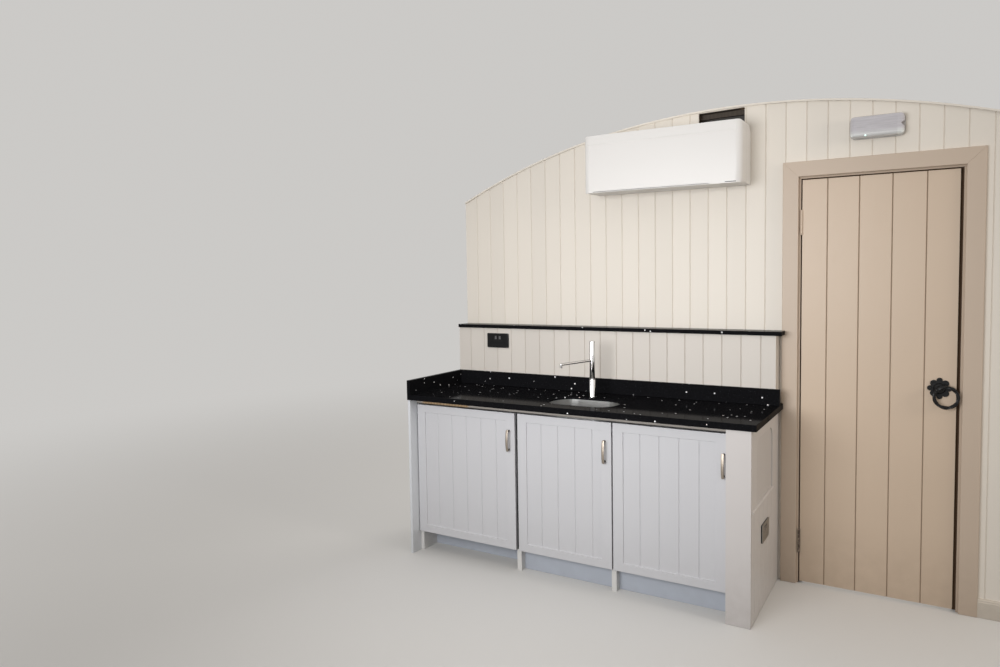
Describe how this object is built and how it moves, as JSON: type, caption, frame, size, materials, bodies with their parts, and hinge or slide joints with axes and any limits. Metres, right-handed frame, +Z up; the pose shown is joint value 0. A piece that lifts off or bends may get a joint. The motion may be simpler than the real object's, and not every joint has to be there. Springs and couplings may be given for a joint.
{
  "type": "end wall of a shepherds hut with boarded door and kitchenette",
  "caption": "Arch-topped boarded timber end wall with ledged and braced entrance door, fitted kitchen cupboards, stone worktop with sink and tap, wall air conditioner and emergency light.",
  "frame": {"origin": "middle of the wall's foot on the floor, halfway through the wall's thickness", "axes": "+X to the right along the wall seen from inside the room, +Y from the room out through the wall, +Z up"},
  "size_m": [3.3, 0.733, 2.388],
  "materials": {
    "wall_paint": "satin paint over timber boards",
    "door_paint": "eggshell paint over timber",
    "unit_paint": "satin paint over timber",
    "pine": "planed softwood",
    "cabinet_board": "melamine faced board",
    "granite": "polished",
    "stainless": "satin",
    "chrome": "polished",
    "handle_metal": "satin nickel",
    "hinge_steel": "painted over",
    "black_iron": "black wax",
    "white_plastic": "satin",
    "grey_plastic": "satin",
    "black_plastic": "gloss",
    "diffuser": "translucent"
  },
  "bodies": {
    "wall_and_units": {"wall_frame": "pine", "wall_boards_left": "wall_paint", "wall_boards_over_door": "wall_paint", "wall_boards_right": "wall_paint", "arch_trim": "wall_paint", "skirting": "wall_paint", "side_jambs": "door_paint", "head_jamb": "door_paint", "side_architraves": "door_paint", "head_architraves": "door_paint", "shelf_boxing": "wall_paint", "boxing_socket": "black_plastic", "stone_shelf": "granite", "worktop": "granite", "back_upstand": "granite", "side_upstand": "granite", "sink_bowl": "stainless", "sink_waste": "stainless", "tap_body": "chrome", "cabinet_sides": "cabinet_board", "cabinet_bottoms": "cabinet_board", "cabinet_backs": "cabinet_board", "cabinet_fascia": "pine", "plinths": "unit_paint", "left_scribe": "unit_paint", "end_post": "unit_paint", "end_panel": "unit_paint", "socket_plate": "stainless", "frame_hinge_leaves": "hinge_steel", "ac_housing": "white_plastic", "ac_front_cover": "white_plastic", "ac_louvre": "white_plastic", "light_base": "grey_plastic", "light_diffuser": "diffuser"},
    "entrance_door": {"door_boards": "door_paint", "door_ledges": "door_paint", "door_hinge_leaves": "hinge_steel", "ring_rose": "black_iron"},
    "ring": {"ring_handle": "black_iron"},
    "spout": {"tap_spout": "chrome"},
    "left_cupboard": {"left_cupboard_door": "unit_paint", "left_cupboard_handle": "handle_metal"},
    "middle_cupboard": {"middle_cupboard_door": "unit_paint", "middle_cupboard_handle": "handle_metal"},
    "right_cupboard": {"right_cupboard_door": "unit_paint", "right_cupboard_handle": "handle_metal"}
  },
  "joints": [
    {"name": "entrance_door_hinge", "type": "hinge", "parent": "wall_and_units", "child": "entrance_door", "pos_m": [0.301, -0.0485, 0], "axis": [0, 0, 1], "range_deg": [-90, 0]},
    {"name": "ring_handle_turn", "type": "hinge", "parent": "entrance_door", "child": "ring", "pos_m": [0.888, -0.0435, 1.016], "axis": [0, 1, 0], "range_deg": [-50, 130]},
    {"name": "tap_spout_swivel", "type": "hinge", "parent": "wall_and_units", "child": "spout", "pos_m": [-0.692, -0.3055, 1], "axis": [0, 0, 1], "range_deg": [-80, 110]},
    {"name": "left_cupboard_hinge", "type": "hinge", "parent": "wall_and_units", "child": "left_cupboard", "pos_m": [-1.63, -0.6035, 0], "axis": [0, 0, 1], "range_deg": [-90, 0]},
    {"name": "middle_cupboard_hinge", "type": "hinge", "parent": "wall_and_units", "child": "middle_cupboard", "pos_m": [-0.985, -0.6035, 0], "axis": [0, 0, 1], "range_deg": [-90, 0]},
    {"name": "right_cupboard_hinge", "type": "hinge", "parent": "wall_and_units", "child": "right_cupboard", "pos_m": [-0.458, -0.6035, 0], "axis": [0, 0, 1], "range_deg": [-90, 0]}
  ]
}
